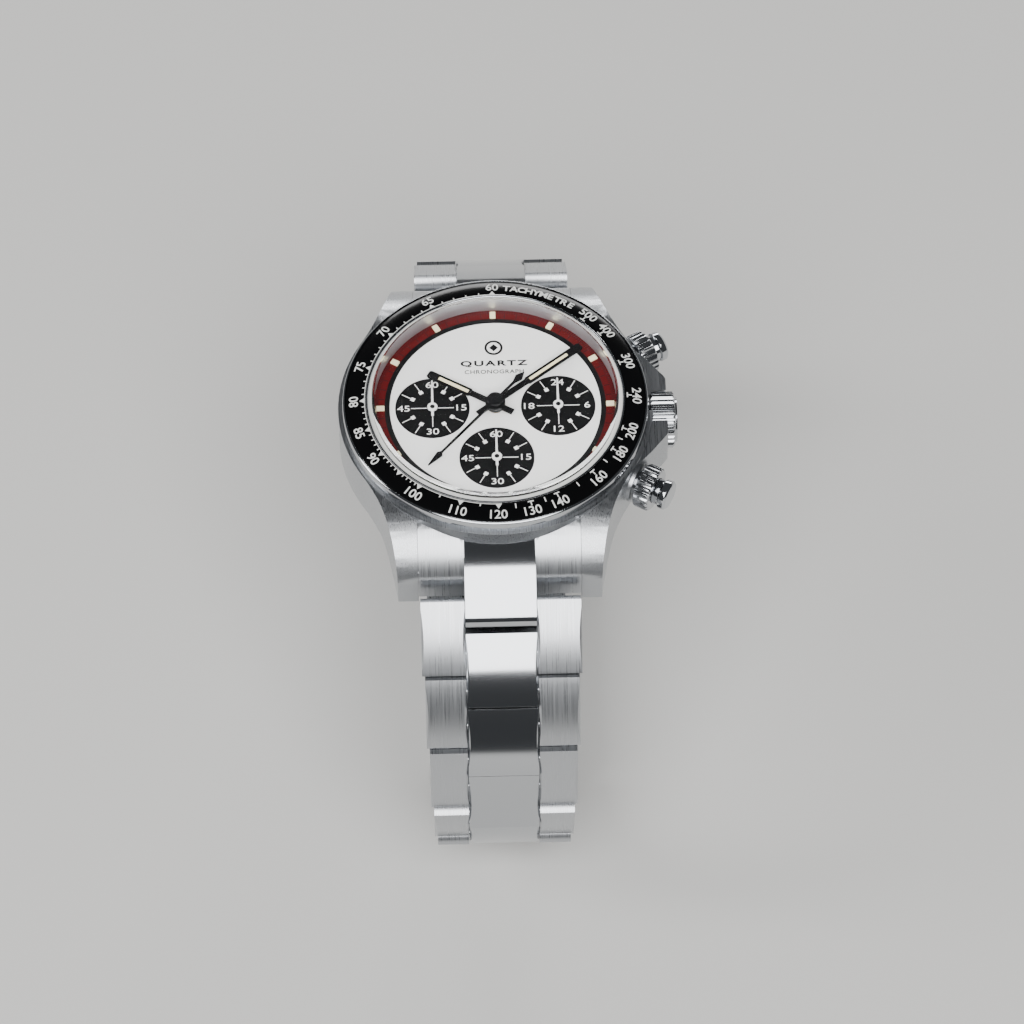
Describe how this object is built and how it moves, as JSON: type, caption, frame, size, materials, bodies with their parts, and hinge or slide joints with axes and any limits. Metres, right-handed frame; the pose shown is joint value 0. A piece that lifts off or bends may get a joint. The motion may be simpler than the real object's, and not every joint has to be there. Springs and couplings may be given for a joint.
{
  "type": "chronograph wristwatch",
  "caption": "Steel three-register chronograph wristwatch: dial with sub-dials under a tachymeter bezel, crown and screw-down pushers, and a three-row link bracelet closed by a folding clasp.",
  "frame": {"origin": "on the flat underside of the clasp, below the middle of the dial, where the standing watch touches the table", "axes": "+Z is the way the dial faces, +X the crown side (3 o'clock), +Y the 12 o'clock side"},
  "size_m": [0.042, 0.082, 0.0543],
  "materials": {
    "steel_brushed": "brushed stainless steel",
    "steel_polished": "mirror-polished stainless steel",
    "bezel_black": "glossy black scale insert",
    "crystal": "flat polished watch crystal",
    "dial_silver": "silver-white sunburst dial",
    "dial_black": "black dial paint with fine rings",
    "lume": "cream luminous compound",
    "hand_black": "satin black hands",
    "hand_white": "white small hands",
    "seal": "black sealing rubber",
    "seal_white": "white crystal gasket",
    "brass": "gilt brass movement parts",
    "plate": "plated movement plate",
    "holder": "moulded plastic holder",
    "board": "green circuit board",
    "cell": "button cell can",
    "copper": "enamelled copper coil"
  },
  "bodies": {
    "case": {"case_middle": "steel_brushed", "bezel_ring": "steel_polished", "bezel_insert": "bezel_black", "crystal": "crystal", "crystal_gasket": "seal_white", "rehaut_ring": "steel_polished", "dial": "dial_silver", "subdials": "dial_black", "hour_markers": "lume", "caseback": "steel_polished", "caseback_gasket": "seal", "crown_tube": "steel_polished", "pusher_tubes": "steel_polished", "pusher_springs": "steel_brushed", "movement_holder": "holder", "main_plate": "plate", "train_bridge": "brass", "circuit_board": "board", "battery": "cell", "battery_clamp": "brass", "drive_coil": "copper", "stator": "plate", "quartz_can": "steel_polished", "movement_screws": "steel_brushed", "end_link_12": "steel_brushed", "end_link_6": "steel_brushed", "spring_bars": "steel_brushed"},
    "crown_slider": {"crown_gasket": "seal"},
    "crown_head": {"crown": "steel_polished", "winding_stem": "steel_polished"},
    "collar_2": {"pusher_collar_2": "steel_polished"},
    "collar_4": {"pusher_collar_4": "steel_polished"},
    "button_2": {"pusher_button_2": "steel_polished"},
    "button_4": {"pusher_button_4": "steel_polished"},
    "minute_hand": {"minute_hand": "hand_black", "minute_wheel": "brass"},
    "hour_hand": {"hour_hand": "hand_black", "hour_wheel": "brass"},
    "chrono_hand": {"chrono_hand": "hand_black"},
    "subhand_9": {"subhand_9": "hand_white"},
    "subhand_3": {"subhand_3": "hand_white"},
    "subhand_6": {"subhand_6": "hand_white"},
    "rotor": {"rotor": "plate"},
    "link_12_1": {"link_12_1": "steel_brushed"},
    "link_12_2": {"link_12_2": "steel_brushed"},
    "link_12_3": {"link_12_3": "steel_brushed"},
    "link_12_4": {"link_12_4": "steel_brushed"},
    "link_12_5": {"link_12_5": "steel_brushed"},
    "link_12_6": {"link_12_6": "steel_brushed"},
    "link_6_1": {"link_6_1": "steel_brushed"},
    "link_6_2": {"link_6_2": "steel_brushed"},
    "link_6_3": {"link_6_3": "steel_brushed"},
    "link_6_4": {"link_6_4": "steel_brushed"},
    "link_6_5": {"link_6_5": "steel_brushed"},
    "link_6_6": {"link_6_6": "steel_brushed"},
    "blade_long": {"clasp_blade_long": "steel_polished"},
    "blade_short": {"clasp_blade_short": "steel_polished"},
    "cover": {"clasp_cover": "steel_brushed"},
    "catch": {"clasp_catch": "steel_polished"}
  },
  "joints": [
    {"name": "crown_pull", "type": "slide", "parent": "case", "child": "crown_slider", "axis": [1, 0, 0], "range_m": [0, 0.0016]},
    {"name": "crown_turn", "type": "hinge", "parent": "crown_slider", "child": "crown_head", "pos_m": [0.022, 0, 0.04818], "axis": [1, 0, 0], "continuous": true},
    {"name": "collar_2_turn", "type": "hinge", "parent": "case", "child": "collar_2", "pos_m": [0.01924, 0.01067, 0.04818], "axis": [0.8746, 0.4848, 0], "range_deg": [0, 360]},
    {"name": "button_2_press", "type": "slide", "parent": "case", "child": "button_2", "axis": [-0.8746, -0.4848, 0], "range_m": [0, 0.0008], "stiffness_N_per_m": 3000, "springref_m": -0.0005},
    {"name": "collar_4_turn", "type": "hinge", "parent": "case", "child": "collar_4", "pos_m": [0.01924, -0.01067, 0.04818], "axis": [0.8746, -0.4848, 0], "range_deg": [0, 360]},
    {"name": "button_4_press", "type": "slide", "parent": "case", "child": "button_4", "axis": [-0.8746, 0.4848, 0], "range_m": [0, 0.0008], "stiffness_N_per_m": 3000, "springref_m": -0.0005},
    {"name": "minute_hand_turn", "type": "hinge", "parent": "case", "child": "minute_hand", "pos_m": [0, 0, 0.05118], "axis": [0, 0, -1], "continuous": true},
    {"name": "hour_hand_turn", "type": "hinge", "parent": "case", "child": "hour_hand", "pos_m": [0, 0, 0.05118], "axis": [0, 0, -1], "continuous": true},
    {"name": "day_hand_turn", "type": "hinge", "parent": "case", "child": "subhand_3", "pos_m": [0.0078, 0, 0.05118], "axis": [0, 0, -1], "continuous": true},
    {"name": "chrono_hand_turn", "type": "hinge", "parent": "case", "child": "chrono_hand", "pos_m": [0, 0, 0.05118], "axis": [0, 0, -1], "continuous": true},
    {"name": "minute_counter_turn", "type": "hinge", "parent": "case", "child": "subhand_9", "pos_m": [-0.0078, 0, 0.05118], "axis": [0, 0, -1], "continuous": true},
    {"name": "seconds_hand_turn", "type": "hinge", "parent": "case", "child": "subhand_6", "pos_m": [0, -0.0078, 0.05118], "axis": [0, 0, -1], "continuous": true},
    {"name": "rotor_turn", "type": "hinge", "parent": "case", "child": "rotor", "pos_m": [0.0046, -0.0056, 0.05118], "axis": [0, 0, -1], "continuous": true},
    {"name": "link_12_1_bend", "type": "hinge", "parent": "case", "child": "link_12_1", "pos_m": [0, 0.0261, 0.04408], "axis": [1, 0, 0], "range_deg": [0, 42]},
    {"name": "link_12_2_bend", "type": "hinge", "parent": "link_12_1", "child": "link_12_2", "pos_m": [0, 0.03279, 0.03762], "axis": [1, 0, 0], "range_deg": [0, 27]},
    {"name": "link_12_3_bend", "type": "hinge", "parent": "link_12_2", "child": "link_12_3", "pos_m": [0, 0.03758, 0.02965], "axis": [1, 0, 0], "range_deg": [0, 31]},
    {"name": "link_12_4_bend", "type": "hinge", "parent": "link_12_3", "child": "link_12_4", "pos_m": [0, 0.03951, 0.02055], "axis": [1, 0, 0], "range_deg": [0, 40]},
    {"name": "link_12_5_bend", "type": "hinge", "parent": "link_12_4", "child": "link_12_5", "pos_m": [0, 0.03695, 0.01161], "axis": [1, 0, 0], "range_deg": [0, 46]},
    {"name": "link_12_6_bend", "type": "hinge", "parent": "link_12_5", "child": "link_12_6", "pos_m": [0, 0.02983, 0.00563], "axis": [1, 0, 0], "range_deg": [0, 40]},
    {"name": "link_6_1_bend", "type": "hinge", "parent": "case", "child": "link_6_1", "pos_m": [0, -0.0261, 0.04408], "axis": [-1, 0, 0], "range_deg": [0, 42]},
    {"name": "link_6_2_bend", "type": "hinge", "parent": "link_6_1", "child": "link_6_2", "pos_m": [0, -0.03279, 0.03762], "axis": [-1, 0, 0], "range_deg": [0, 27]},
    {"name": "link_6_3_bend", "type": "hinge", "parent": "link_6_2", "child": "link_6_3", "pos_m": [0, -0.03758, 0.02965], "axis": [-1, 0, 0], "range_deg": [0, 31]},
    {"name": "link_6_4_bend", "type": "hinge", "parent": "link_6_3", "child": "link_6_4", "pos_m": [0, -0.03951, 0.02055], "axis": [-1, 0, 0], "range_deg": [0, 40]},
    {"name": "link_6_5_bend", "type": "hinge", "parent": "link_6_4", "child": "link_6_5", "pos_m": [0, -0.03695, 0.01161], "axis": [-1, 0, 0], "range_deg": [0, 46]},
    {"name": "link_6_6_bend", "type": "hinge", "parent": "link_6_5", "child": "link_6_6", "pos_m": [0, -0.02983, 0.00563], "axis": [-1, 0, 0], "range_deg": [0, 40]},
    {"name": "clasp_link_bend", "type": "hinge", "parent": "link_6_6", "child": "blade_long", "pos_m": [0, -0.02073, 0.0037], "axis": [-1, 0, 0], "range_deg": [0, 34]},
    {"name": "clasp_fold", "type": "hinge", "parent": "blade_long", "child": "blade_short", "pos_m": [0, 0.01413, 0.00335], "axis": [1, 0, 0], "range_deg": [0, 150]},
    {"name": "cover_fold", "type": "hinge", "parent": "blade_short", "child": "cover", "pos_m": [0, -0.01673, 0.00235], "axis": [1, 0, 0], "range_deg": [-150, 0]},
    {"name": "catch_flip", "type": "hinge", "parent": "cover", "child": "catch", "pos_m": [0, -0.01483, 0.00046], "axis": [1, 0, 0], "range_deg": [0, 95]}
  ],
  "couplings": [
    {"joint": "hour_hand_turn", "follows": "minute_hand_turn", "ratio": 0.083333},
    {"joint": "day_hand_turn", "follows": "minute_hand_turn", "ratio": 0.041667},
    {"joint": "minute_counter_turn", "follows": "chrono_hand_turn", "ratio": 0.016667},
    {"joint": "rotor_turn", "follows": "seconds_hand_turn", "ratio": 30},
    {"joint": "cover_fold", "follows": "clasp_fold", "ratio": -1}
  ]
}
